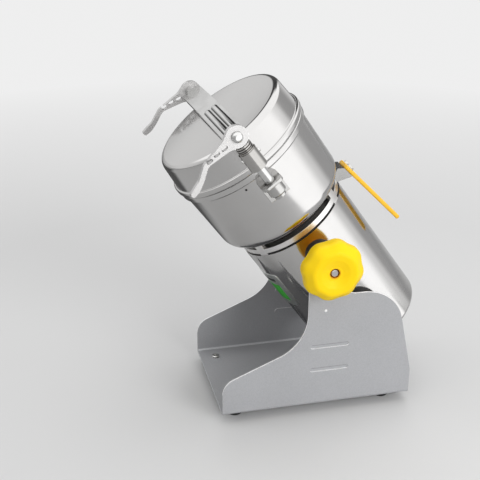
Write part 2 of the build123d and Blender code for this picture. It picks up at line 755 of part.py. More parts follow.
switch_place = on_wall(switch_angle, housing_radius, switch_middle)
frame = Box(switch_width, 2 * switch_proud, switch_height)
frame = fillet(frame.edges().filter_by(Axis.Y), switch_corner)
frame -= switch_place.inverse() * disc(housing_radius, -200, 200)
well = Box(well_width, switch_proud + switch_well, well_height)
frame += Pos(0, (switch_well - switch_proud) / 2, 0) * well
hole = Box(rocker_width + 2 * rocker_gap, 10 + switch_well - switch_wall, rocker_height + 2 * rocker_gap)
frame -= Pos(0, (switch_well - switch_wall - 10) / 2, 0) * hole
pin_end = rocker_width / 2 + rocker_gap + rocker_pin_reach
frame -= Rot(0, 90, 0) * disc(rocker_pin_radius + running, -pin_end - rocker_gap, pin_end + rocker_gap)
pieces["switch_frame"] = drum_place * switch_place * frame
rocker = plate_along(
    [(-switch_proud - rocker_crest, -rocker_height / 2 + rocker_draft),
     (-switch_proud + rocker_dip, 0.0),
     (-switch_proud - rocker_crest, rocker_height / 2 - rocker_draft),
     (0.0, rocker_height / 2 - rocker_taper), (rocker_keel, 0.0),
     (0.0, -rocker_height / 2 + rocker_taper)], rocker_width)
rocker += Rot(0, 90, 0) * disc(rocker_pin_radius, -pin_end, pin_end)
pieces["switch_rocker"] = drum_place * switch_place * Rot(rocker_throw / 2, 0, 0) * rocker

reset_place = on_wall(switch_angle, housing_radius, reset_middle) * Rot(90, 0, 0)
collar = disc(reset_collar_radius, -3, reset_collar_proud, reset_radius + running)
collar -= reset_place.inverse() * disc(housing_radius, -200, 200)
collar += disc(reset_radius + reset_wall, -reset_depth, 0, reset_radius + running)
pieces["reset_collar"] = drum_place * reset_place * collar
button = disc(reset_radius, -reset_depth + reset_short, reset_collar_proud + reset_proud)
button = fillet(button.edges().group_by(Axis.Z)[-1], reset_round)
pieces["reset_button"] = drum_place * reset_place * button

gland_place = on_wall(gland_angle, housing_radius, gland_middle) * Rot(90, 0, 0)
gland = hex_prism(2 * gland_flange * cos(radians(30)), -4, gland_flange_height)
gland -= gland_place.inverse() * disc(housing_radius, -200, 200)
gland += disc(gland_radius, -gland_tail, gland_length)
gland = fillet(gland.edges().group_by(Axis.Z)[-1], gland_round)
gland -= disc(gland_bore, -gland_tail - 1, gland_length + 1)
pieces["cable_gland"] = drum_place * gland_place * gland

# ---- motor: end bells, bearings and stator ----
bell_radius = housing_bore - bell_gap
upper_low = housing_top - bell_height
lower_low = lower_bell_top - bell_height
for name, low, high in (("upper", upper_low, housing_top), ("lower", lower_low, lower_bell_top)):
    bell = disc(bell_radius, low, high, bearing_radius)
    for number in range(bell_windows):
        window = Pos((bearing_radius + bell_radius) / 2, 0, (low + high) / 2) * Cylinder(
            bell_window_radius, bell_height + 2)
        bell -= Rot(0, 0, number * 360 / bell_windows) * window
    middle = (low + high) / 2
    pieces[f"end_bell_{name}"] = drum_place * bell
    pieces[f"bearing_{name}"] = drum_place * disc(
        bearing_radius, middle - bearing_height / 2, middle + bearing_height / 2, shaft_radius + running)

stator_middle = (stator_bottom + stator_top) / 2
ears = Box(2 * bell_radius, ear_width, stator_top - stator_bottom)
ears = Pos(0, 0, stator_middle) * (ears + Rot(0, 0, 90) * ears)
stator = disc(stator_radius, stator_bottom, stator_top)
stator += ears & disc(bell_radius, stator_bottom, stator_top)
stator -= disc(stator_bore, stator_bottom - 1, stator_top + 1)
slot_middle = (stator_bore + coil_radius) / 2 - coil_gap / 2
slot_turns = [(number + 0.5) * 360 / stator_slots for number in range(stator_slots)]
for turn in slot_turns:
    stator -= Rot(0, 0, turn) * Pos(slot_middle, 0, stator_middle) * Cylinder(
        slot_radius, stator_top - stator_bottom + 2)
pieces["stator_core"] = drum_place * stator
coils = disc(coil_radius, stator_top, stator_top + coil_height, stator_bore + coil_gap)
coils += disc(coil_radius, stator_bottom - coil_height, stator_bottom, stator_bore + coil_gap)
for turn in slot_turns:
    coils += Rot(0, 0, turn) * Pos(slot_middle, 0, stator_middle) * Cylinder(
        slot_radius, stator_top - stator_bottom)
pieces["stator_coils"] = drum_place * coils

# ---- motor: everything that spins ----
fan_low = cap_bottom + cap_height + fan_rise
blade_base = chamber_floor + chamber_wall + blade_low
blade_tip = blade_base + blade_step + blade_thickness
shaft_top = blade_tip + blade_nut_height + shaft_past
pieces["rotor_shaft"] = drum_place * (
    disc(shaft_radius, fan_low - shaft_past, shaft_top)
    + disc(shaft_radius + shaft_collar, blade_base - shaft_collar_height, blade_base)
)
armature = disc(stator_bore - air_gap, stator_bottom, stator_top)
armature += disc(commutator_radius, commutator_bottom, commutator_top)
armature += disc(armature_neck, commutator_top, stator_bottom)
armature -= disc(shaft_radius, commutator_bottom - 1, stator_top + 1)
pieces["armature"] = drum_place * armature
fan = disc(fan_radius, fan_low + fan_height - fan_plate, fan_low + fan_height)
fan += disc(fan_hub, fan_low, fan_low + fan_height)
for number in range(fan_blades):
    vane = Pos((fan_hub + fan_radius) / 2 - vane_inset, 0, fan_low + fan_height / 2) * Box(
        fan_radius - fan_hub, fan_plate, fan_height - 2 * vane_inset)
    fan += Rot(0, 0, number * 360 / fan_blades) * vane
fan -= disc(shaft_radius, fan_low - 3, fan_low + fan_height + 1)
pieces["cooling_fan"] = drum_place * fan


def blade(low, lift):
    # A flat bar with its two ends bent along the drum.
    half = blade_reach - 0.9 * blade_bend
    bar = Pos(0, 0, low + blade_thickness / 2) * Box(2 * half, blade_width, blade_thickness)
    for side in (-1, 1):
        tip = Pos(side * (half - 0.4), 0, low + blade_thickness / 2) * Rot(0, -side * lift, 0) * Pos(
            side * blade_bend / 2, 0, 0) * Box(blade_bend, blade_width, blade_thickness)
        bar += tip
    bar += disc(blade_nut_radius, low, low + blade_thickness)
    return bar - disc(shaft_radius, low - 1, low + blade_thickness + 1)


spacer = disc(
    shaft_radius + spacer_wall, blade_base + blade_thickness, blade_base + blade_step, shaft_radius)
pieces["blade_lower"] = drum_place * (blade(blade_base, blade_low_lift) + spacer)
pieces["blade_upper"] = drum_place * Rot(0, 0, 90) * blade(blade_base + blade_step, blade_high_lift)
blade_nut = hex_prism(blade_nut_radius * 1.7, blade_tip, blade_tip + blade_nut_height)
blade_nut -= disc(shaft_radius, blade_tip - 1, blade_tip + blade_nut_height + 1)
pieces["blade_nut"] = drum_place * blade_nut

# ---- the origin is the middle of the whole mill's underside ----
box = Compound(children=[Part() + shape for shape in pieces.values()]).bounding_box()
middle_x = (box.min.X + box.max.X) / 2
middle_y = (box.min.Y + box.max.Y) / 2
to_origin = Pos(-middle_x, -middle_y, 0)

os.makedirs("parts", exist_ok=True)
for name, shape in pieces.items():
    export_step(to_origin * shape, f"parts/{name}.step")
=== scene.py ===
import json
import math
import bpy
from mathutils import Matrix, Vector

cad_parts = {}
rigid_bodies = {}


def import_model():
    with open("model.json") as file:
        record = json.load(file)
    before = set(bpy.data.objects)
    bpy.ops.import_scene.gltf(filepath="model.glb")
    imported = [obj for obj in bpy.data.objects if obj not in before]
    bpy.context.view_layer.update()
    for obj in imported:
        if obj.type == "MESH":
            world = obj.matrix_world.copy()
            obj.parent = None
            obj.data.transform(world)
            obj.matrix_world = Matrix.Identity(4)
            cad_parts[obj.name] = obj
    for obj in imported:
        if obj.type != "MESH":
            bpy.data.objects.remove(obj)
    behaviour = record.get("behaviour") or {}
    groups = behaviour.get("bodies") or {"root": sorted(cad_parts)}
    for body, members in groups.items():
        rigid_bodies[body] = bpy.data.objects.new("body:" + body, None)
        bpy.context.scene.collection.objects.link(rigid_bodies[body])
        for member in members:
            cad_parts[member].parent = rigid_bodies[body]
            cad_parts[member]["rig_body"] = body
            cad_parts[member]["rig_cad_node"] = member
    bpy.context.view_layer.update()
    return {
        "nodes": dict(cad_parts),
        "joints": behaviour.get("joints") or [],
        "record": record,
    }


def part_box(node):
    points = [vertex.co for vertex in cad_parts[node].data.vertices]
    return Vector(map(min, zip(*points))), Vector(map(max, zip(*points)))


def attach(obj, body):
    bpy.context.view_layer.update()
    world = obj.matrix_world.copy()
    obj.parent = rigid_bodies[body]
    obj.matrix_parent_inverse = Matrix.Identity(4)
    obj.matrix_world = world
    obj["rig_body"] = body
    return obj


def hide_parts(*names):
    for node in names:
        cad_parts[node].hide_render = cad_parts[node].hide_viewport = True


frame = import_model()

print("frame loaded:", len(frame["nodes"]), "nodes")

# the drum's own directions: right is towards the handle, front towards the knob, along up its axis
joints = {joint["name"]: joint for joint in frame["joints"]}
pivot = Vector(joints["drum_swing"]["pos_m"])
along = Vector(joints["rotor_spin"]["axis"])
across = Vector((0, 1, 0))
right = across.cross(along)
tilt = math.atan2(-along.x, along.z)
drumTurn = Matrix((right, across, along)).transposed().to_4x4()
drumSpace = Matrix.Translation(pivot) @ drumTurn
millimetre = 0.001


def wallSpace(angle, radius, height):
    # on the drum's wall, with Z straight out and Y up along the drum
    turn = Matrix.Rotation(math.radians(angle), 4, "Z")
    face = Matrix.Rotation(math.radians(90), 4, "X")
    return drumSpace @ turn @ Matrix.Translation(Vector((0, -radius, height)) * millimetre) @ face


# shared effects of the finishes
def newGroup(name, inputs, outputs):
    group = bpy.data.node_groups.new(name, "ShaderNodeTree")
    for label, kind, value in inputs:
        socket = group.interface.new_socket(label, in_out="INPUT", socket_type=kind)
        if value is not None:
            socket.default_value = value
    for label, kind in outputs:
        group.interface.new_socket(label, in_out="OUTPUT", socket_type=kind)
    return group, group.nodes.new("NodeGroupInput"), group.nodes.new("NodeGroupOutput")


def plug(tree, socket, value):
    # a fixed value is set on the input, and another node's output is linked to it
    if isinstance(value, bpy.types.NodeSocket):
        tree.links.new(value, socket)
    else:
        socket.default_value = value


def addNode(tree, kind, *values, **settings):
    # the values go to its first inputs in their order
    node = tree.nodes.new(kind)
    for label, value in settings.items():
        setattr(node, label, value)
    for socket, value in zip(node.inputs, values):
        plug(tree, socket, value)
    return node


def feed(tree, node, **values):
    # the values go to the inputs of those names
    for label, value in values.items():
        plug(tree, node.inputs[label.replace("_", " ")], value)


def numberMath(tree, operation, *values):
    return addNode(tree, "ShaderNodeMath", *values, operation=operation).outputs[0]


def vectorMath(tree, operation, *values):
    # a length or a dot product comes out as a number
    node = addNode(tree, "ShaderNodeVectorMath", *values, operation=operation)
    return node.outputs["Value" if operation in ("LENGTH", "DOT_PRODUCT") else "Vector"]


def splitAxes(tree, vector):
    return addNode(tree, "ShaderNodeSeparateXYZ", vector).outputs


def noise(tree, vector, scale, detail=3.0, rough=0.5):
    node = addNode(tree, "ShaderNodeTexNoise")
    feed(tree, node, Vector=vector, Scale=scale, Detail=detail, Roughness=rough)
    return node.outputs["Fac"]


def spread(tree, value, low, high, toLow=0.0, toHigh=1.0):
    # low to high becomes toLow to toHigh, and the value is held at both ends
    node = addNode(tree, "ShaderNodeMapRange")
    feed(tree, node, Value=value, From_Min=low, From_Max=high, To_Min=toLow, To_Max=toHigh)
    return node.outputs["Result"]


def between(tree, value, rise, fall):
    # 1 from the end of its rise to the start of its fall, and 0 outside both
    return numberMath(tree, "MULTIPLY", spread(tree, value, *rise), spread(tree, value, *fall, 1.0, 0.0))


def mixColours(tree, mask, first, second, blend="MIX"):
    # the second colour where the mask is, and the first elsewhere
    node = addNode(tree, "ShaderNodeMix", data_type="RGBA", blend_type=blend)
    first, second = ((*colour, 1.0) if isinstance(colour, tuple) else colour for colour in (first, second))
    feed(tree, node, Factor=mask, A=first, B=second)
    return node.outputs["Result"]


def stackShaders(tree, shown, layers):
    # each layer's shader covers the ones before it where its mask is
    for mask, shader in layers:
        shown = addNode(tree, "ShaderNodeMixShader", mask, shown, shader).outputs[0]
    return shown


def buildPaintGrain():
    # a fine orange-peel grain, with faint cloudiness
    group, start, end = newGroup(
        "paintGrain",
        [("Vector", "NodeSocketVector", None), ("Grain Size", "NodeSocketFloat", 900.0)],
        [("Shade", "NodeSocketFloat"), ("Height", "NodeSocketFloat"), ("Cloud", "NodeSocketFloat")])
    vector = start.outputs["Vector"]
    grain = noise(group, vector, start.outputs["Grain Size"], 2.0)
    cloud = noise(group, vector, 14.0, 4.0)
    fleck = spread(group, grain, 0.3, 0.7, 0.93, 1.05)
    mottle = spread(group, cloud, 0.3, 0.7, 0.97, 1.03)
    feed(group, end, Shade=numberMath(group, "MULTIPLY", fleck, mottle), Height=grain, Cloud=cloud)
    return group


def buildSpunLines():
    # rings left by polishing on a lathe: they change with the radius and the height only
    group, start, end = newGroup(
        "spunLines",
        [("Vector", "NodeSocketVector", None), ("Fineness", "NodeSocketFloat", 900.0)],
        [("Lines", "NodeSocketFloat"), ("Smear", "NodeSocketFloat")])
    vector = start.outputs["Vector"]
    radius = vectorMath(group, "LENGTH", vectorMath(group, "MULTIPLY", vector, (1, 1, 0)))
    ring = addNode(group, "ShaderNodeCombineXYZ", radius, splitAxes(group, vector)["Z"]).outputs[0]
    feed(group, end, Lines=noise(group, ring, start.outputs["Fineness"]),
         Smear=noise(group, vector, 26.0, 5.0, 0.6))
    return group


def buildScuffs():
    # short crossing scratches and rubbed spots
    group, start, end = newGroup(
        "scuffs",
        [("Vector", "NodeSocketVector", None), ("Scale", "NodeSocketFloat", 60.0)],
        [("Scratches", "NodeSocketFloat"), ("Rubbed", "NodeSocketFloat")])
    vector = start.outputs["Vector"]
    stretched = addNode(group, "ShaderNodeMapping")
    feed(group, stretched, Vector=vector, Rotation=(0.4, 0.7, 0.5), Scale=(9.0, 1.0, 1.0))
    fine = noise(group, stretched.outputs[0], start.outputs["Scale"], 6.0)
    feed(group, end, Scratches=spread(group, fine, 0.6, 0.75),
         Rubbed=spread(group, noise(group, vector, 40.0, 5.0), 0.45, 0.75))
    return group


paintGrain = buildPaintGrain()
spunLines = buildSpunLines()
scuffs = buildScuffs()


# the finishes themselves
def newMaterial(name, colour, metallic, roughness, **constants):
    material = bpy.data.materials.new(name)
    material.use_nodes = True
    tree = material.node_tree
    shader = tree.nodes["Principled BSDF"]
    feed(tree, shader, Base_Color=(*colour, 1.0), Metallic=metallic, Roughness=roughness, **constants)
    return material, tree, shader


def objectCoordinates(tree, onDrum=False):
    # a point in the scene, or in the drum's own directions from its pivot
    place = addNode(tree, "ShaderNodeTexCoord").outputs["Object"]
    if not onDrum:
        return place
    turned = addNode(tree, "ShaderNodeMapping")
    feed(tree, turned, Vector=place, Location=-(drumTurn.inverted() @ pivot), Rotation=(0.0, tilt, 0.0))
    return turned.outputs[0]


def useGroup(tree, group, vector, **values):
    node = addNode(tree, "ShaderNodeGroup", node_tree=group)
    feed(tree, node, Vector=vector, **values)
    return node.outputs


def tint(tree, shader, colour, shade):
    # the colour times a shade that varies over the surface
    feed(tree, shader, Base_Color=mixColours(tree, 1.0, colour, shade, blend="MULTIPLY"))


def layOver(material, mask, colour):
    # another colour laid over a finished material where the mask is
    tree = material.node_tree
    base = tree.nodes["Principled BSDF"].inputs["Base Color"]
    plug(tree, base, mixColours(tree, mask, base.links[0].from_socket, colour))


def bump(tree, shader, height, strength, distance):
    node = addNode(tree, "ShaderNodeBump")
    feed(tree, node, Strength=strength, Distance=distance, Height=height)
    feed(tree, shader, Normal=node.outputs[0])


def paintedMetal(name, colour, roughness, grainSize=900.0, depth=0.00008):
    material, tree, shader = newMaterial(name, colour, 0.0, roughness)
    grain = useGroup(tree, paintGrain, objectCoordinates(tree), Grain_Size=grainSize)
    tint(tree, shader, colour, grain["Shade"])
    feed(tree, shader, Roughness=spread(tree, grain["Cloud"], 0.3, 0.7, roughness - 0.05, roughness + 0.06))
    bump(tree, shader, grain["Height"], 0.5, depth)
    return material


def spunSteel(name, colour, roughness, fineness=700.0, depth=0.000012):
    material, tree, shader = newMaterial(name, colour, 1.0, roughness)
    rings = useGroup(tree, spunLines, objectCoordinates(tree, onDrum=True), Fineness=fineness)
    tint(tree, shader, colour, spread(tree, rings["Smear"], 0.3, 0.7, 0.975, 1.02))
    lined = spread(tree, rings["Lines"], 0.35, 0.65, roughness * 0.85, roughness * 1.2)
    smeared = spread(tree, rings["Smear"], 0.45, 0.7, 0.0, 0.03)
    feed(tree, shader, Roughness=numberMath(tree, "ADD", lined, smeared))
    bump(tree, shader, rings["Lines"], 0.25, depth)
    return material


def plainMetal(name, colour, roughness, scale=60.0, wear=0.12, depth=0.00002, metallic=1.0):
    material, tree, shader = newMaterial(name, colour, metallic, roughness)
    marks = useGroup(tree, scuffs, objectCoordinates(tree), Scale=scale)
    tint(tree, shader, colour, spread(tree, marks["Rubbed"], 0.0, 1.0, 1.02, 0.94))
    feed(tree, shader, Roughness=spread(tree, marks["Rubbed"], 0.0, 1.0, roughness, roughness + wear))
    bump(tree, shader, marks["Scratches"], 0.2, depth)
    return material


def mouldedPlastic(name, colour, roughness, coat=0.0, grainSize=1400.0, depth=0.00003, **constants):
    material, tree, shader = newMaterial(name, colour, 0.0, roughness, Coat_Weight=coat, **constants)
    grain = useGroup(tree, paintGrain, objectCoordinates(tree), Grain_Size=grainSize)
    tint(tree, shader, colour, spread(tree, grain["Cloud"], 0.25, 0.75, 0.96, 1.03))
    feed(tree, shader, Roughness=spread(tree, grain["Cloud"], 0.3, 0.7, roughness - 0.04, roughness + 0.05))
    bump(tree, shader, grain["Height"], 0.3, depth)
    return material


finishes = {
    "grey_paint": paintedMetal("greyPaint", (0.40, 0.405, 0.42), 0.46),
    "black_rubber": mouldedPlastic("blackRubber", (0.018, 0.018, 0.018), 0.75, grainSize=2200.0,
                                   depth=0.00006),
    "screw_steel": plainMetal("screwSteel", (0.68, 0.68, 0.66), 0.28),
    "bush_nylon": mouldedPlastic("bushNylon", (0.03, 0.03, 0.03), 0.5),
    "dark_boss": mouldedPlastic("darkBoss", (0.012, 0.011, 0.01), 0.55, Specular_IOR_Level=0.3),
    "axle_steel": plainMetal("axleSteel", (0.6, 0.59, 0.58), 0.26, scale=24.0, wear=0.05),
    "yellow_plastic": mouldedPlastic("yellowPlastic", (0.93, 0.52, 0.02), 0.34, coat=0.2,
                                     Coat_Roughness=0.15),
    "polished_steel": spunSteel("polishedSteel", (0.585, 0.578, 0.572), 0.115),
    "neck_black": mouldedPlastic("neckBlack", (0.006, 0.005, 0.004), 0.5),
    "grey_bracket": mouldedPlastic("greyBracket", (0.47, 0.46, 0.47), 0.4),
    "gasket": mouldedPlastic("gasketRubber", (0.06, 0.06, 0.06), 0.7),
    "clamp_chrome": plainMetal("clampChrome", (0.64, 0.638, 0.63), 0.1),
    "plate_aluminium": plainMetal("plateAluminium", (0.62, 0.64, 0.62), 0.34),
    "black_plastic": mouldedPlastic("blackPlastic", (0.016, 0.016, 0.016), 0.45, depth=0.00005),
    "red_plastic": mouldedPlastic("redPlastic", (0.55, 0.012, 0.008), 0.28, coat=0.3, Coat_Roughness=0.1),
    "motor_aluminium": plainMetal("motorAluminium", (0.5, 0.5, 0.5), 0.45, wear=0.15),
    "bearing_steel": plainMetal("bearingSteel", (0.55, 0.55, 0.55), 0.2),
    "core_steel": plainMetal("coreSteel", (0.24, 0.24, 0.25), 0.45),
    "copper": plainMetal("copperWire", (0.6, 0.22, 0.08), 0.32),
    "fan_plastic": mouldedPlastic("fanPlastic", (0.04, 0.04, 0.045), 0.5),
    "blade_steel": plainMetal("bladeSteel", (0.66, 0.66, 0.65), 0.2),
}
slotOfNode = {part["node"]: part["material_slot"] for part in frame["record"]["subparts"]}
for nodeName, node in frame["nodes"].items():
    node.data.materials.clear()
    node.data.materials.append(finishes[slotOfNode[nodeName]])
print("finishes made:", len(finishes))


# how pieces are made: how near two points are that become one, and an arc's step
weldWithin = 0.000002
arcStep = math.radians(9)


def deselectAll():
    if bpy.context.mode != "OBJECT":
        bpy.ops.object.mode_set(mode="OBJECT")
    bpy.ops.object.select_all(action="DESELECT")


def pick(piece):
    deselectAll()
    piece.select_set(True)
    bpy.context.view_layer.objects.active = piece


def applyAll(piece):
    pick(piece)
    for modifier in list(piece.modifiers):
        bpy.ops.object.modifier_apply(modifier=modifier.name)


def settle(piece, place):
    # the place goes into the piece's mesh, and its object stays at the origin
    piece.matrix_world = place @ piece.matrix_world
    bpy.context.view_layer.update()
    pick(piece)
    bpy.ops.object.transform_apply(location=True, rotation=True, scale=True)


def smooth(piece, angle):
    pick(piece)
    bpy.ops.object.shade_smooth_by_angle(angle=math.radians(angle))


def dress(piece, slot, body, *nodes, material=None):
    piece.data.materials.clear()
    piece.data.materials.append(material or finishes[slot])
    if nodes:
        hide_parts(*nodes)
    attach(piece, body)


def bevelPiece(piece, width):
    modifier = piece.modifiers.new("edges", "BEVEL")
    modifier.width = width
    modifier.segments = 2
    modifier.limit_method = "ANGLE"
    modifier.angle_limit = math.radians(35.0)
    modifier.harden_normals = False
    applyAll(piece)


def softenedCopy(nodeName, width):
    # a copy of the solid, merged, with its sharp edges rounded as a real casting or sheet has them
    source = frame["nodes"][nodeName]
    pick(source)
    bpy.ops.object.duplicate(linked=False)
    piece = bpy.context.active_object
    piece.parent = None
    piece.name = nodeName + "Dressed"
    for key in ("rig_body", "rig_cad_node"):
        if key in piece:
            del piece[key]
    bpy.ops.object.mode_set(mode="EDIT")
    bpy.ops.mesh.select_all(action="SELECT")
    bpy.ops.mesh.remove_doubles(threshold=0.000005)
    bpy.ops.mesh.dissolve_limited(angle_limit=math.radians(1.5))
    bpy.ops.object.mode_set(mode="OBJECT")
    if width > 0:
        bevelPiece(piece, width)
    smooth(piece, 40.0)
    return piece


def roundedLine(corners):
    # (radius, height, rounding) corners turned into points, with an arc at each rounded one
    points = []
    count = len(corners)
    for index, (x, z, rounding) in enumerate(corners):
        here = Vector((x, z))
        if rounding <= 0 or index in (0, count - 1):
            points.append(here)
            continue
        before = (Vector(corners[index - 1][:2]) - here).normalized()
        after = (Vector(corners[index + 1][:2]) - here).normalized()
        half = before.angle(after) / 2
        reach = rounding / math.tan(half)
        middle = here + (before + after).normalized() * (rounding / math.sin(half))
        first = here + before * reach - middle
        last = here + after * reach - middle
        swing = math.atan2(first.x * last.y - first.y * last.x, first.dot(last))
        steps = max(2, round(abs(swing) / arcStep))
        for step in range(steps + 1):
            angle = swing * step / steps
            turned = Vector((first.x * math.cos(angle) - first.y * math.sin(angle),
                             first.x * math.sin(angle) + first.y * math.cos(angle)))
            points.append(middle + turned)
    return points


def spinRound(piece, steps, sweep, smoothAngle):
    # what is drawn so far in edit mode, spun round the Z axis into a closed skin
    bpy.ops.mesh.select_all(action="SELECT")
    bpy.ops.mesh.spin(steps=steps, angle=sweep, center=(0, 0, 0), axis=(0, 0, 1), use_auto_merge=False)
    bpy.ops.mesh.select_all(action="SELECT")
    bpy.ops.mesh.remove_doubles(threshold=weldWithin)
    bpy.ops.mesh.normals_make_consistent(inside=False)
    bpy.ops.object.mode_set(mode="OBJECT")
    smooth(piece, smoothAngle)


def spunPiece(name, corners, steps=160, closed=True):
    # one point is drawn out along the outline, which is then spun round its own axis
    points = roundedLine(corners)
    if closed:
        points.append(points[0])
    deselectAll()
    bpy.ops.mesh.primitive_plane_add(size=0.001)
    piece = bpy.context.active_object
    piece.name = name
    bpy.ops.object.mode_set(mode="EDIT")
    bpy.ops.mesh.select_all(action="SELECT")
    bpy.ops.mesh.merge(type="CENTER")
    bpy.ops.transform.translate(value=(points[0].x * millimetre, 0, points[0].y * millimetre))
    for before, after in zip(points, points[1:]):
        step = (after - before) * millimetre
        bpy.ops.mesh.extrude_vertices_move(TRANSFORM_OT_translate={"value": (step.x, 0, step.y)})
    spinRound(piece, steps, math.tau, 40.0)
    return piece


# camera, light and floor
camera = {"spot": (-0.277054, -0.917932, 0.60423), "view": (0.21474, 0.8885, -0.40552),
          "up": (0.0881, 0.3959, 0.9141), "lens": 72.09}


def makeCamera():
    view = Vector(camera["view"]).normalized()
    side = view.cross(Vector(camera["up"])).normalized()
    up = side.cross(view)
    data = bpy.data.cameras.new("mainCamera")
    data.lens = camera["lens"]
    data.sensor_width = 36.0
    data.clip_start = 0.01
    data.clip_end = 30.0
    eye = bpy.data.objects.new("mainCamera", data)
    bpy.context.scene.collection.objects.link(eye)
    turn = Matrix((side, up, -view)).transposed().to_4x4()
    eye.matrix_world = Matrix.Translation(Vector(camera["spot"])) @ turn
    bpy.context.scene.camera = eye


# metres and watts, all four turned to one middle
lampMiddle = (0.0, 0.0, 0.2)
lamps = {
    "frontBox": {"spot": (0.75, -1.45, 0.7), "size": (0.8, 0.9), "power": 17.0},
    "leftBox": {"spot": (-1.3, 0.3, 1.0), "size": (0.9, 0.9), "power": 3.0},
    "topBox": {"spot": (0.2, 0.1, 1.6), "size": (1.0, 1.0), "power": 5.0},
    "backBox": {"spot": (0.4, 1.4, 0.9), "size": (1.0, 0.8), "power": 3.5},
}


def makeLamps():
    # the metal mirrors the room's own soft boxes, so these four only throw light
    middle = Vector(lampMiddle)
    for name, lamp in lamps.items():
        data = bpy.data.lights.new(name, "AREA")
        data.shape = "RECTANGLE"
        data.size, data.size_y = lamp["size"]
        data.energy = lamp["power"]
        light = bpy.data.objects.new(name, data)
        bpy.context.scene.collection.objects.link(light)
        light.location = lamp["spot"]
        light.rotation_mode = "QUATERNION"
        light.rotation_quaternion = (middle - light.location).to_track_quat("-Z", "Y")
        light.visible_glossy = False


# strength of the wall as the camera sees it, of the light it gives, and of what metal mirrors;
# heights are sines of the elevation, and a pair is where a brightness starts and ends its change
room = {"wall": 0.86, "light": 0.6, "mirrored": 1.62,
        # compass angle from the handle's side, brightness of the wall there as the metal mirrors it
        "walls": ((-180, 0.5), (-135, 0.35), (-100, 0.5), (-78, 0.92), (-22, 1.0), (-2, 0.6), (14, 0.3),
                  (36, 0.28), (58, 0.5), (66, 0.06), (86, 0.07), (102, 0.3), (122, 0.45), (146, 0.57)),
        "ceiling": 0.92, "ceilingFoot": (0.37, 0.47),
        # a pale panel high on the dim end of the wall: where it starts, its foot, its brightness
        "panelFrom": (88.0, 95.0), "panelFoot": (0.12, 0.24), "panel": 0.56,
        # an unlit gap between the wall and the ceiling: its compass angles, its top, its brightness
        "gapFrom": (58.4, 65.6), "gapTo": (114.4, 121.6), "gapTop": (0.66, 0.78), "gap": 0.04}


def compass(*angles):
    # compass angles as the radial gradient counts them, from 0 to 1
    return [angle / 360 + 0.5 for angle in angles]


def makeRoom():
    # even room light; the camera sees a pale wall, and polished metal sees soft boxes on it
    world = bpy.data.worlds.new("studio")
    bpy.context.scene.world = world
    world.use_nodes = True
    tree = world.node_tree
    tree.nodes.clear()
    direction = addNode(tree, "ShaderNodeTexCoord").outputs["Generated"]
    turn = addNode(tree, "ShaderNodeTexGradient", direction, gradient_type="RADIAL").outputs["Fac"]
    height = splitAxes(tree, direction)["Z"]
    ramp = addNode(tree, "ShaderNodeValToRGB", turn)
    ramp.color_ramp.interpolation = "EASE"
    stops = [(*compass(angle), value) for angle, value in room["walls"]]
    stops.append((1.0, stops[0][1]))
    elements = ramp.color_ramp.elements
    for element, (place, value) in zip(elements, (stops[0], stops[-1])):
        element.position, element.color = place, (value, value, value, 1)
    for place, value in stops[1:-1]:
        elements.new(place).color = (value, value, value, 1)
    onPanel = numberMath(tree, "MULTIPLY", spread(tree, turn, *compass(*room["panelFrom"])),
                         spread(tree, height, *room["panelFoot"]))
    wall = mixColours(tree, onPanel, ramp.outputs["Color"], (room["panel"],) * 3)
    inGap = numberMath(tree, "MULTIPLY",
                       between(tree, turn, compass(*room["gapFrom"]), compass(*room["gapTo"])),
                       spread(tree, height, *room["gapTop"], 1.0, 0.0))
    ceiling = mixColours(tree, inGap, (room["ceiling"],) * 3, (room["gap"],) * 3)
    soft = mixColours(tree, spread(tree, height, *room["ceilingFoot"]), wall, ceiling)
    white = (1, 1, 1, 1)
    light, mirrored, seen = (addNode(tree, "ShaderNodeBackground", colour, room[key]).outputs[0]
                             for colour, key in ((white, "light"), (soft, "mirrored"), (white, "wall")))
    path = addNode(tree, "ShaderNodeLightPath").outputs
    straight = numberMath(tree, "MAXIMUM", path["Is Camera Ray"], path["Is Transmission Ray"])
    shown = stackShaders(tree, light, ((path["Is Glossy Ray"], mirrored), (straight, seen)))
    addNode(tree, "ShaderNodeOutputWorld", shown)


floor = {"size": 12.0, "colour": (0.5, 0.5, 0.5), "seenColour": (0.66, 0.66, 0.66), "roughness": 0.7,
         # where it fades into the wall
         "fade": (0.55, 1.4),
         # a dark mat behind on the left: its compass angle, half its spread, its two distances
         "matMiddle": 112.0, "matHalf": 34.0, "matFrom": (0.2, 0.3), "matTo": (1.3, 1.7),
         "matSoft": 0.05, "matLight": 0.1,
         # a white sheet in front on the right, which only mirrors show: its near edge and its sides
         "sheetFrom": (0.86, 0.903), "sheetMiddle": -50.0, "sheetHalf": 34.0, "sheetSoft": 0.02,
         "sheetLight": 1.65}


def sector(tree, direction, middle, half, soft):
    # 1 within half an angle of a compass angle
    angle = math.radians(middle)
    toward = vectorMath(tree, "DOT_PRODUCT", direction, (math.cos(angle), math.sin(angle), 0))
    edge = math.cos(math.radians(half))
    return spread(tree, toward, edge - soft, edge + soft)


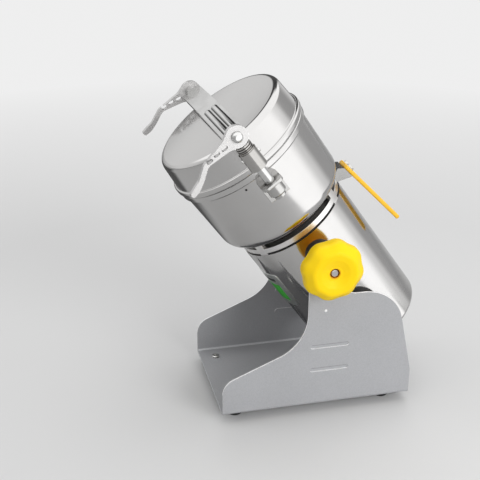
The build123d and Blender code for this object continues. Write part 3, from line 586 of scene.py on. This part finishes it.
def makeFloor():
    deselectAll()
    bpy.ops.mesh.primitive_plane_add(size=floor["size"], location=(0, 0, 0))
    plane = bpy.context.active_object
    plane.name = "studioFloor"
    material, tree, shader = newMaterial("paleFloor", floor["colour"], 0.0, floor["roughness"])
    place = addNode(tree, "ShaderNodeTexCoord").outputs["Object"]
    reach = vectorMath(tree, "LENGTH", place)
    side = vectorMath(tree, "NORMALIZE", place)
    path = addNode(tree, "ShaderNodeLightPath").outputs
    seen, mirrored = path["Is Camera Ray"], path["Is Glossy Ray"]
    feed(tree, shader, Base_Color=mixColours(tree, seen, floor["colour"], floor["seenColour"]))
    far = spread(tree, reach, *floor["fade"])
    onMat = numberMath(tree, "MULTIPLY", between(tree, reach, floor["matFrom"], floor["matTo"]),
                       sector(tree, side, floor["matMiddle"], floor["matHalf"], floor["matSoft"]))
    onSheet = numberMath(tree, "MULTIPLY", spread(tree, reach, *floor["sheetFrom"]),
                         sector(tree, side, floor["sheetMiddle"], floor["sheetHalf"], floor["sheetSoft"]))
    layers = []
    for mask, rays, strength in ((far, seen, room["wall"]), (onMat, mirrored, floor["matLight"]),
                                 (onSheet, mirrored, floor["sheetLight"])):
        glow = addNode(tree, "ShaderNodeEmission", (1, 1, 1, 1), strength).outputs[0]
        layers.append((numberMath(tree, "MULTIPLY", mask, rays), glow))
    feed(tree, tree.nodes["Material Output"], Surface=stackShaders(tree, shader.outputs[0], layers))
    plane.data.materials.append(material)


makeCamera()
makeRoom()
makeLamps()
makeFloor()
bpy.context.scene.view_settings.view_transform = "Standard"
print("camera and light ready")

# chamber and lid, spun
# lengths in millimetres; an outline's corners are radius, height and rounding
chamber = {"foot": 72.4, "top": 74.2, "floor": 46.5, "rim": 131.0, "rimRadius": 76.6,
           "rimHeight": 6.0, "rimSlope": 1.6, "corner": 14.0, "wall": 1.5, "shaftHole": 6.5}


def makeChamber():
    k = chamber
    low, high = k["floor"], k["rim"]
    rimLow = high - k["rimHeight"]
    outline = [(k["shaftHole"], low, 0), (k["foot"], low, k["corner"]),
               (k["top"], rimLow - k["rimSlope"], 1.2), (k["rimRadius"], rimLow, 0.8),
               (k["rimRadius"], high, 1.2), (k["top"] - k["wall"], high, 0.5),
               (k["foot"] - k["wall"], low + k["wall"], k["corner"] - k["wall"]),
               (k["shaftHole"], low + k["wall"], 0)]
    piece = spunPiece("chamberShell", outline)
    settle(piece, drumSpace)
    dress(piece, "polished_steel", "drum", "grinding_chamber")


lid = {"seat": 131.03, "top": 168.6, "footRadius": 75.2, "topRadius": 72.6, "bead": 78.0,
       "beadHeight": 6.97, "corner": 6.5, "wall": 1.5, "spigot": 71.7, "spigotDepth": 9.0,
       "spigotRise": 3.0}


def makeLid():
    k = lid
    beadTop = k["seat"] + k["beadHeight"]
    spigotLow = k["seat"] - k["spigotDepth"]
    outline = [(0, k["top"], 0), (k["topRadius"], k["top"], k["corner"]), (k["footRadius"], beadTop, 0.9),
               (k["bead"], beadTop, 1.9), (k["bead"], k["seat"], 2.6), (k["spigot"], k["seat"], 0),
               (k["spigot"], spigotLow, 0.4), (k["spigot"] - k["wall"], spigotLow, 0.4),
               (k["spigot"] - k["wall"], k["seat"] + k["spigotRise"], 0),
               (k["footRadius"] - k["wall"], beadTop - 1.0, 0),
               (k["topRadius"] - k["wall"], k["top"] - k["wall"], k["corner"] - k["wall"]),
               (0, k["top"] - k["wall"], 0)]
    piece = spunPiece("lidShell", outline, closed=False)
    settle(piece, drumSpace)
    dress(piece, "polished_steel", "lid", "lid_shell")


makeChamber()
makeLid()
print("chamber and lid spun")

# clamping knob
knob = {"back": 73.8, "hub": 12.0, "hubHeight": 7.5, "radius": 32.9, "face": 31.5, "hole": 4.9,
        "ridge": 20.5, "dishDepth": 3.4, "socket": 9.0, "socketDepth": 18.0, "backRadius": 26.0,
        "lobes": 8, "lobeDepth": 1.9, "lobeSharpness": 1.2, "lobesFrom": 14.0, "lobeFade": 1.3,
        # painted shade: a brown ring round the hole and an orange back where the knob is in shadow, with
        # their reach and strength
        "rimShadeColour": (0.62, 0.2, 0.006), "rimShadeReach": (4.9, 6.6), "rimShadeStrength": 0.9,
        "backShadeColour": (1.0, 0.38, 0.02), "backShadeDepth": (6.5, 11.5)}


def knobFinish():
    # the moulded yellow, with painted shade on it: browner round the edge of the hole and more orange at the
    # back, where the knob is in shadow
    material = mouldedPlastic("knobYellow", (0.98, 0.665, 0.003), 0.36, coat=0.08, Coat_Roughness=0.2,
                              Specular_IOR_Level=0.22)
    tree = material.node_tree
    middle = wallSpace(0, knob["back"], 0).translation
    shift = vectorMath(tree, "SUBTRACT", objectCoordinates(tree), middle)
    first, last = (-depth * millimetre for depth in knob["backShadeDepth"])
    layOver(material, spread(tree, splitAxes(tree, shift)["Y"], last, first), knob["backShadeColour"])
    reach = vectorMath(tree, "LENGTH", vectorMath(tree, "MULTIPLY", shift, (1, 0, 1)))
    inner, outer = (edge * millimetre for edge in knob["rimShadeReach"])
    layOver(material, spread(tree, reach, inner, outer, knob["rimShadeStrength"], 0.0), knob["rimShadeColour"])
    return material


def makeKnob():
    k = knob
    low = k["face"] - k["dishDepth"]
    outline = [(k["socket"], 0, 0), (k["hub"], 0, 0.6), (k["hub"], k["hubHeight"], 1.2),
               (k["backRadius"], k["hubHeight"], 2.5), (k["radius"], k["hubHeight"] + 5.5, 4.5),
               (k["radius"], k["face"] - 8.0, 7.5), (k["ridge"] + 2.5, k["face"] + 0.4, 6.5),
               (k["ridge"] - 5.0, k["face"] - 0.6, 7.0), (k["hole"] + 3.5, low, 2.5),
               (k["hole"], low - 0.3, 0.8), (k["hole"], k["socketDepth"], 0),
               (k["socket"], k["socketDepth"], 0)]
    piece = spunPiece("knobShell", outline, steps=192)
    for vertex in piece.data.vertices:
        reach = math.hypot(vertex.co.x, vertex.co.y) / millimetre
        share = min(1.0, max(0.0, (reach - k["lobesFrom"]) / (k["radius"] - k["lobesFrom"])))
        wave = (1 - math.cos(k["lobes"] * math.atan2(vertex.co.y, vertex.co.x))) / 2
        factor = 1 - k["lobeDepth"] / k["radius"] * wave ** k["lobeSharpness"] * share ** k["lobeFade"]
        vertex.co.x *= factor
        vertex.co.y *= factor
    smooth(piece, 45.0)
    settle(piece, wallSpace(0, k["back"], 0))
    dress(piece, "yellow_plastic", "knob", "lock_knob", material=knobFinish())


makeKnob()
print("knob made")

# the metal of single pieces
castChrome = plainMetal("castChrome", (0.65, 0.642, 0.637), 0.2, wear=0.06, metallic=0.35)
ringSteel = plainMetal("ringSteel", (0.84, 0.83, 0.82), 0.3, wear=0.06)
bracketSteel = plainMetal("bracketSteel", (0.52, 0.515, 0.505), 0.15, wear=0.06)
sleeveSteel = plainMetal("sleeveSteel", (0.44, 0.43, 0.415), 0.14, wear=0.06)
handleSteel = plainMetal("handleSteel", (0.5, 0.498, 0.49), 0.24, wear=0.06)
capSteel = plainMetal("capSteel", (0.66, 0.655, 0.645), 0.3, wear=0.08, metallic=0.4)
for nodeName, finish in (("clamp_sleeve_near", sleeveSteel), ("clamp_sleeve_far", sleeveSteel),
                         ("housing_cap", capSteel)):
    frame["nodes"][nodeName].data.materials[0] = finish

# the clamp is turned a little about the drum's axis; heights are the drum's, lengths millimetres
clampAngle = math.radians(3.0)
# painted shade in near black brown, and where it lies: in the sleeves' grooves and in a ring round each rod
# on top of its bracket
posts = {"offset": 88.0, "paintedShade": (0.035, 0.027, 0.02),
         "grooves": (160.6, 162.35, 164.75), "grooveHalf": (0.4, 0.75), "grooveShade": 0.9,
         "rodShadeReach": (4.6, 8.2), "rodShadeStrength": 0.92, "plateTop": (117.7, 118.3)}


def shadeSleeveGrooves():
    # painted shade, near black brown, down in the sleeves' grooves
    tree = sleeveSteel.node_tree
    height = splitAxes(tree, objectCoordinates(tree, onDrum=True))["Z"]
    low, high = (edge * millimetre for edge in posts["grooveHalf"])
    for groove in posts["grooves"]:
        away = numberMath(tree, "ABSOLUTE", numberMath(tree, "SUBTRACT", height, groove * millimetre))
        layOver(sleeveSteel, spread(tree, away, low, high, posts["grooveShade"], 0.0), posts["paintedShade"])


def shadeRoundRods():
    # and painted shade standing for a dark reflection, in a ring round the rods on top of their brackets
    tree = bracketSteel.node_tree
    vector = objectCoordinates(tree, onDrum=True)
    squares = []
    for angle, offset in ((clampAngle, 0.0), (clampAngle + math.pi / 2, posts["offset"])):
        reach = vectorMath(tree, "DOT_PRODUCT", vector, (math.cos(angle), math.sin(angle), 0.0))
        away = numberMath(tree, "SUBTRACT", numberMath(tree, "ABSOLUTE", reach), offset * millimetre)
        squares.append(numberMath(tree, "MULTIPLY", away, away))
    inner, outer = (edge * millimetre for edge in posts["rodShadeReach"])
    bottom, top = (edge * millimetre for edge in posts["plateTop"])
    ring = spread(tree, numberMath(tree, "SQRT", numberMath(tree, "ADD", *squares)), inner, outer,
                  posts["rodShadeStrength"], 0.0)
    onTop = spread(tree, splitAxes(tree, vector)["Z"], bottom, top)
    layOver(bracketSteel, numberMath(tree, "MULTIPLY", ring, onTop), posts["paintedShade"])


shadeSleeveGrooves()
shadeRoundRods()
print("posts shaded")

# castings and pressed sheet with their edges rounded
# width of the rounding in millimetres, body, own finish
softened = {
    "lever_near": (1.1, "near_lever", castChrome), "lever_far": (1.1, "far_lever", castChrome),
    "clamp_strap": (0.7, "lid", None),
    "clamp_bracket_near": (0.5, "drum", bracketSteel), "clamp_bracket_far": (0.5, "drum", bracketSteel),
    "handle_grip": (0.0, "drum", None), "handle_bracket": (0.5, "drum", handleSteel),
    "neck_ring": (0.25, "drum", ringSteel),
}


def weighNormals(piece):
    # wide flat faces keep their own direction, so that only the rounded edges shade
    modifier = piece.modifiers.new("weighted", "WEIGHTED_NORMAL")
    modifier.mode = "FACE_AREA"
    modifier.weight = 100
    modifier.keep_sharp = True
    applyAll(piece)


def softenAll():
    for nodeName, (width, body, finish) in softened.items():
        piece = softenedCopy(nodeName, width * millimetre)
        weighNormals(piece)
        dress(piece, slotOfNode[nodeName], body, nodeName, material=finish)


# the sheet's paint, and lighter paints that are painted highlights on the cut edges and along the bends
stand = {"rounding": 0.5, "paint": (0.4, 0.405, 0.42), "edgeHighlight": (0.95, 0.952, 0.957),
         "bendHighlight": (0.62, 0.63, 0.645),
         # heights of the pressed ribs, reach of their faces and the largest of them in square metres
         "ribs": (54.5, 83.0), "ribReach": 3.45, "ribFace": 0.0004,
         # a rib's stripes of painted shadow and painted highlight: where they come in, where they go out, and
         # their colour
         "ribShadowAndHighlight": (((0.9, 1.8), (3.8, 4.5), (0.1, 0.102, 0.107)),
                     ((-4.2, -3.3), (-2.9, -2.2), (0.95, 0.952, 0.957))),
         # how deep the outer faces and the cut edges reach in from the sides, and up from the floor
         "skin": 1.4, "edgeDepth": 2.6, "edgeFoot": 4.0, "endFoot": 2.1, "bendTop": 6.5, "bendDepth": 1.5,
         # the painted shade it takes on in mirrors, and how much of it
         "mirrorShade": (0.012, 0.012, 0.014), "mirrored": 0.62}


def ribShadingPaint():
    # painted shadow under the upper lip of each pressed rib, and a painted highlight on its lower lip
    material = paintedMetal("greyPaintRibShading", stand["paint"], 0.46)
    tree = material.node_tree
    height = splitAxes(tree, objectCoordinates(tree))["Z"]
    for start, stop, colour in stand["ribShadowAndHighlight"]:
        masks = []
        for rib in stand["ribs"]:
            rise, fall = ([(rib + edge) * millimetre for edge in pair] for pair in (start, stop))
            masks.append(between(tree, height, rise, fall))
        layOver(material, numberMath(tree, "MAXIMUM", *masks), colour)
    return material


def dimInMirrors(material):
    # painted shade seen only in mirrors: the sheet is darker in the drum's mirror image than it is, as in a
    # hollow with little light
    tree = material.node_tree
    mirrored = addNode(tree, "ShaderNodeLightPath").outputs["Is Glossy Ray"]
    layOver(material, numberMath(tree, "MULTIPLY", mirrored, stand["mirrored"]), stand["mirrorShade"])


def makeStand():
    # painted sheet: its ribs carry painted shadow and highlight, and its cut edges and its bends painted
    # highlights, each in a finish of its own
    k = stand
    piece = softenedCopy("stand_frame", k["rounding"] * millimetre)
    weighNormals(piece)
    dress(piece, "grey_paint", "stand", "stand_frame")
    dimInMirrors(piece.data.materials[0])
    for finish in (paintedMetal("greyPaintEdgeHighlight", k["edgeHighlight"], 0.36), ribShadingPaint(),
                   paintedMetal("greyPaintBendHighlight", k["bendHighlight"], 0.38)):
        piece.data.materials.append(finish)
    edgeHighlightSlot, ribShadingSlot, bendHighlightSlot = 1, 2, 3
    low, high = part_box("stand_frame")
    middle, half = (low.y + high.y) / 2, (high.y - low.y) / 2
    for face in piece.data.polygons:
        aside = face.center.y - middle
        depth = (half - abs(aside)) / millimetre
        rise = (face.center.z - low.z) / millimetre
        fromRib = min(abs(face.center.z / millimetre - height) for height in k["ribs"])
        outward = face.normal.y * aside > 0
        onRib = fromRib < k["ribReach"] and face.area < k["ribFace"] and face.normal.z < 0.3
        if onRib and outward and depth < k["skin"]:
            face.material_index = ribShadingSlot
        # the cheeks' cut edges, and the floor's at both ends, take a painted highlight
        elif abs(face.normal.y) < 0.5 and depth < k["edgeDepth"] and rise > k["edgeFoot"]:
            face.material_index = edgeHighlightSlot
        elif abs(face.normal.x) > 0.8 and rise < k["endFoot"]:
            face.material_index = edgeHighlightSlot
        # a painted highlight along the bends between the floor and the cheeks
        elif 0.25 < face.normal.z < 0.97 and rise < k["bendTop"] and depth > k["bendDepth"]:
            face.material_index = bendHighlightSlot


softenAll()
makeStand()
print("edges rounded:", len(softened) + 1)

# small fittings: pins, beads, marks, a dark dot, weld nib and the plate's field
clampSpace = drumSpace @ Matrix.Rotation(clampAngle, 4, "Z")
sleevePin = {"height": 152.0, "radius": 2.1, "reach": 10.9, "rounding": 0.9}


def shifted(x, y, z):
    # a move in millimetres
    return Matrix.Translation(Vector((x, y, z)) * millimetre)


def secondOf(first, name):
    # the same piece once more, with its own mesh
    pick(first)
    bpy.ops.object.duplicate(linked=False)
    second = bpy.context.active_object
    second.name = name
    return second


def makeSleevePins():
    # a cross pin through each sleeve, its rounded ends standing out of both sides
    reach, radius, rounding = (sleevePin[key] for key in ("reach", "radius", "rounding"))
    outline = [(0, -reach, 0), (radius, -reach, rounding), (radius, reach, rounding), (0, reach, 0)]
    first = spunPiece("sleevePinNear", outline, steps=28, closed=False)
    second = secondOf(first, "sleevePinFar")
    lying = Matrix.Rotation(math.radians(90), 4, "Y")
    for piece, side in ((first, -1), (second, 1)):
        settle(piece, clampSpace @ shifted(0, side * posts["offset"], sleevePin["height"]) @ lying)
        dress(piece, "clamp_chrome", "lid")


# how high the strap's ridge is, its fall out to its end, and the beads along it with painted shade on their
# flanks
strap = {"ridge": 184.0, "fall": 4.4, "end": 90.0,
         "swageFrom": 6.0, "swageTo": 79.0, "swageHalfWidth": 3.7, "swageHeight": 2.5, "swageStep": 4.3,
         "swageSunk": 0.15, "flank": (1.6, 2.8), "flankShadeStrength": 0.85, "flankShadeColour": (0.02, 0.02, 0.02)}


def swageChromeCreaseShade():
    # chrome with painted shade: a dark reflection painted down in the creases along each bead
    material = plainMetal("swageChromeCreaseShade", (0.7, 0.698, 0.69), 0.08)
    tree = material.node_tree
    sideways = clampSpace.to_3x3() @ Vector((1, 0, 0))
    reach = vectorMath(tree, "DOT_PRODUCT", objectCoordinates(tree), sideways)
    offset = numberMath(tree, "ABSOLUTE", numberMath(tree, "SUBTRACT", reach, pivot.dot(sideways)))
    away = numberMath(tree, "ABSOLUTE", numberMath(tree, "SUBTRACT", offset, strap["swageStep"] * millimetre))
    inner, outer = (edge * millimetre for edge in strap["flank"])
    layOver(material, spread(tree, away, inner, outer, 0.0, strap["flankShadeStrength"]), strap["flankShadeColour"])
    return material


def makeStrapSwages():
    # two long beads pressed up out of the strap's near half
    k = strap
    deselectAll()
    bpy.ops.mesh.primitive_uv_sphere_add(segments=32, ring_count=16, radius=k["swageHalfWidth"] * millimetre)
    first = bpy.context.active_object
    first.name = "strapSwageLeft"
    bpy.ops.object.mode_set(mode="EDIT")
    bpy.ops.mesh.select_all(action="SELECT")
    bpy.ops.mesh.bisect(plane_co=(0, 0, 0), plane_no=(0, 1, 0))
    bpy.ops.mesh.select_all(action="SELECT")
    bpy.ops.transform.resize(value=(1, 1, k["swageHeight"] / k["swageHalfWidth"]))
    bpy.ops.object.mode_set(mode="OBJECT")
    half = (k["swageTo"] - k["swageFrom"]) / 2 - k["swageHalfWidth"]
    for vertex in first.data.vertices:
        if abs(vertex.co.y) > 1e-7:
            vertex.co.y += math.copysign(half * millimetre, vertex.co.y)
    smooth(first, 60.0)
    second = secondOf(first, "strapSwageRight")
    middle = -(k["swageFrom"] + k["swageTo"]) / 2
    height = k["ridge"] + k["fall"] * middle / k["end"] - k["swageSunk"]
    lean = Matrix.Rotation(math.atan2(k["fall"], k["end"]), 4, "X")
    finish = swageChromeCreaseShade()
    for piece, side in ((first, -1), (second, 1)):
        settle(piece, clampSpace @ shifted(side * k["swageStep"], middle, height) @ lean)
        dress(piece, "clamp_chrome", "lid", material=finish)


darkDot = {"angle": -15.0, "height": 119.0, "wall": 73.75, "radius": 1.3, "rise": 0.7, "sunk": 0.6}


def makeDarkDot():
    # a small black dome set in the chamber's wall
    k = darkDot
    outline = [(0, -k["sunk"], 0), (k["radius"], -k["sunk"], 0), (k["radius"], k["rise"], 0.6),
               (0, k["rise"], 0)]
    piece = spunPiece("chamberDarkDot", outline, steps=24, closed=False)
    settle(piece, wallSpace(k["angle"], k["wall"], k["height"]))
    dress(piece, "black_plastic", "drum")


nib = {"x": 21.9, "z": 126.0, "radius": 1.6, "rise": 0.55, "sunk": 0.3}


def makeNib():
    # a spot weld's small raised mark under the knob, in the lighter paint of the painted edge highlights
    k = nib
    outline = [(0, -k["sunk"], 0), (k["radius"], -k["sunk"], 0), (k["radius"] * 0.95, 0.15, 0.2),
               (k["radius"] * 0.45, k["rise"], 0.5), (0, k["rise"], 0)]
    piece = spunPiece("weldNib", outline, steps=24, closed=False)
    low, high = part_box("stand_frame")
    place = Matrix.Translation(Vector((k["x"] * millimetre, low.y, k["z"] * millimetre)))
    settle(piece, place @ Matrix.Rotation(math.radians(90), 4, "X"))
    dress(piece, "grey_paint", "stand", material=bpy.data.materials["greyPaintEdgeHighlight"])


plate = {"angle": -76.0, "middle": -23.0, "radius": 62.65, "thickness": 0.12, "sunk": 0.1,
         "fieldWidth": 27.0, "fieldHeight": 24.0, "fieldDrop": -4.0, "bandHeight": 4.0, "bandDrop": 15.5}


def arcPiece(name, inner, outer, low, high, angle, width):
    # a thin block that follows the drum's wall, its middle at a wall angle
    deselectAll()
    bpy.ops.mesh.primitive_plane_add(size=1.0)
    piece = bpy.context.active_object
    piece.name = name
    bpy.ops.object.mode_set(mode="EDIT")
    bpy.ops.mesh.select_all(action="SELECT")
    bpy.ops.transform.resize(value=((outer - inner) * millimetre, (high - low) * millimetre, 1))
    bpy.ops.object.mode_set(mode="OBJECT")
    for vertex in piece.data.vertices:
        x, z = vertex.co.x, vertex.co.y
        vertex.co = (x + (inner + outer) / 2 * millimetre, 0, z + (low + high) / 2 * millimetre)
    bpy.ops.object.mode_set(mode="EDIT")
    spinRound(piece, 24, width / outer, 30.0)
    middle = sum((vertex.co for vertex in piece.data.vertices), Vector((0, 0, 0)))
    turn = math.radians(angle - 90) - math.atan2(middle.y, middle.x)
    settle(piece, drumSpace @ Matrix.Rotation(turn, 4, "Z"))
    return piece


def makePlateField():
    # a plain green field and a dark band on the plate
    k = plate
    green = mouldedPlastic("plateGreen", (0.03, 0.42, 0.025), 0.4, coat=0.2, Coat_Roughness=0.15)
    dark = mouldedPlastic("plateInk", (0.03, 0.032, 0.034), 0.45)
    for name, drop, height, finish in (("plateField", k["fieldDrop"], k["fieldHeight"], green),
                                       ("plateBand", k["bandDrop"], k["bandHeight"], dark)):
        middle = k["middle"] + drop
        piece = arcPiece(name, k["radius"] - k["sunk"], k["radius"] + k["thickness"],
                         middle - height / 2, middle + height / 2, k["angle"], k["fieldWidth"])
        dress(piece, "plate_aluminium", "drum", material=finish)


# the switch on the drum's wall, the slope of its two halves and its lean at rest, and its marks
rocker = {"angle": -125.0, "wall": 62.0, "middle": -30.0, "slope": 13.8, "rest": 7.0,
          "markAt": 5.5, "markHeight": 6.12, "sunk": 0.1, "rise": 0.08, "edge": 0.03,
          "ring": 1.7, "line": 0.36, "bar": 3.4, "barWidth": 0.468}


def makeRockerMarks():
    # a white ring on one half of the switch and a white bar on the other
    k = rocker
    white = mouldedPlastic("markWhite", (0.85, 0.85, 0.83), 0.4)
    inner, outer = k["ring"] - k["line"], k["ring"]
    outline = [(inner, -k["sunk"], 0), (outer, -k["sunk"], 0), (outer, k["rise"], k["edge"]),
               (inner, k["rise"], k["edge"])]
    ring = spunPiece("rockerMarkOff", outline, steps=32)
    deselectAll()
    bpy.ops.mesh.primitive_cube_add(size=1.0)
    bar = bpy.context.active_object
    bar.name = "rockerMarkOn"
    bpy.ops.object.mode_set(mode="EDIT")
    bpy.ops.mesh.select_all(action="SELECT")
    thickness = k["sunk"] + k["rise"]
    bpy.ops.transform.resize(value=Vector((k["barWidth"], k["bar"], thickness)) * millimetre)
    bpy.ops.object.mode_set(mode="OBJECT")
    bevelPiece(bar, k["edge"] * millimetre)
    face = wallSpace(k["angle"], k["wall"], k["middle"]) @ Matrix.Rotation(math.radians(k["rest"]), 4, "X")
    for piece, side in ((ring, -1), (bar, 1)):
        sloped = Matrix.Rotation(math.radians(side * k["slope"]), 4, "X")
        settle(piece, face @ shifted(0, side * k["markAt"], k["markHeight"]) @ sloped)
        dress(piece, "red_plastic", "rocker", material=white)


makeSleevePins()
makeStrapSwages()
makeRockerMarks()
makeDarkDot()
makeNib()
makePlateField()
print("small fittings made")
